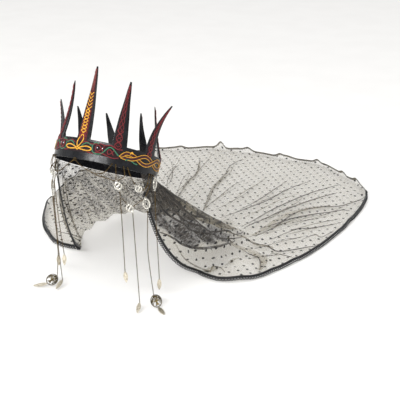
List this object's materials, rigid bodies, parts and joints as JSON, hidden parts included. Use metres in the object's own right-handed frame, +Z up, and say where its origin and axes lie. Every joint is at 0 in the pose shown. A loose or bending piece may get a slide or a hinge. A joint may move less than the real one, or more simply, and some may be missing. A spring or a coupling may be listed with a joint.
{
  "type": "spiked crown with hanging chains and a dotted tulle veil",
  "caption": "Tilted spiked band hung with fine chain swags, openwork charms, leaf drops and tree medallions, with a long dotted veil gathered under its rim and lying out behind.",
  "frame": {"origin": "centre of the band's lower rim, where the crown sits on the head", "axes": "+Z up as worn, -Y towards the wearer's front, +X towards the wearer's left"},
  "size_m": [0.6475, 0.8397, 0.3943],
  "materials": {
    "strap": "satin",
    "net": "matte",
    "ribbon": "satin",
    "bronze": "antique",
    "silver": "satin",
    "dark_bronze": "antique"
  },
  "bodies": {
    "root": {"band_link_1_left": "bronze", "band_link_1_right": "bronze", "band_link_2_left": "bronze", "band_link_2_right": "bronze", "band_link_3_left": "bronze", "band_link_3_right": "bronze", "band_link_4_left": "bronze", "band_link_4_right": "bronze", "band_link_5_left": "bronze", "band_link_5_right": "bronze", "center_hook": "bronze", "charm_1_left": "silver", "charm_1_right": "silver", "charm_2_left": "silver", "charm_2_right": "silver", "charm_3_left": "silver", "charm_3_right": "silver", "charm_4_left": "silver", "charm_4_right": "silver", "charm_5_left": "silver", "charm_5_right": "silver", "charm_link_1_left": "bronze", "charm_link_1_right": "bronze", "charm_link_2_left": "bronze", "charm_link_2_right": "bronze", "crown": "strap", "drop_1_left": "bronze", "drop_1_right": "bronze", "drop_3_left": "bronze", "drop_3_right": "bronze", "drop_4_left": "bronze", "drop_4_right": "bronze", "drop_5_left": "bronze", "drop_5_right": "bronze", "leaf_1_left": "silver", "leaf_1_right": "silver", "leaf_3_left": "silver", "leaf_3_right": "silver", "leaf_4_left": "silver", "leaf_4_right": "silver", "leaf_5_left": "silver", "leaf_5_right": "silver", "lower_swag_left": "bronze", "medallion_left": "dark_bronze", "medallion_right": "dark_bronze", "side_swag_left": "bronze", "side_swag_right": "bronze", "upper_swag_left": "bronze", "upper_swag_right": "bronze", "veil": "net", "veil_edging": "ribbon"}
  },
  "joints": []
}
